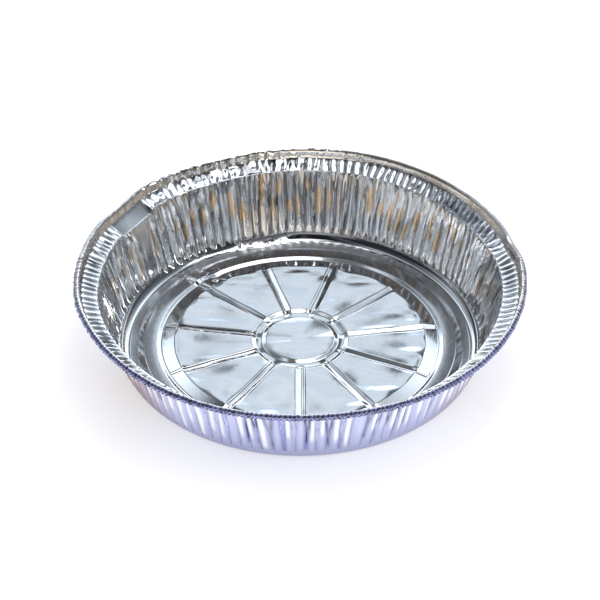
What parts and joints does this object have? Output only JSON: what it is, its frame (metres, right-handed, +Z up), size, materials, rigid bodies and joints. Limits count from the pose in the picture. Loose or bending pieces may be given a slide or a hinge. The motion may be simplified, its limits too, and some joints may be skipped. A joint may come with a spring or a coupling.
{
  "type": "foil pie tin",
  "caption": "Round pleated aluminium foil pie tin with a crimped flange, a rolled edge and a base pressed with ring and radial channels.",
  "frame": {"origin": "middle of the underside, on the surface the tin stands on", "axes": "+Z up out of the mouth, -Y towards the front of the pictured view, +X to its right"},
  "size_m": [0.2193, 0.2207, 0.0435],
  "materials": {
    "foil": "bright rolled foil, pleated and lightly creased"
  },
  "bodies": {
    "root": {"pie_tin": "foil"}
  },
  "joints": []
}
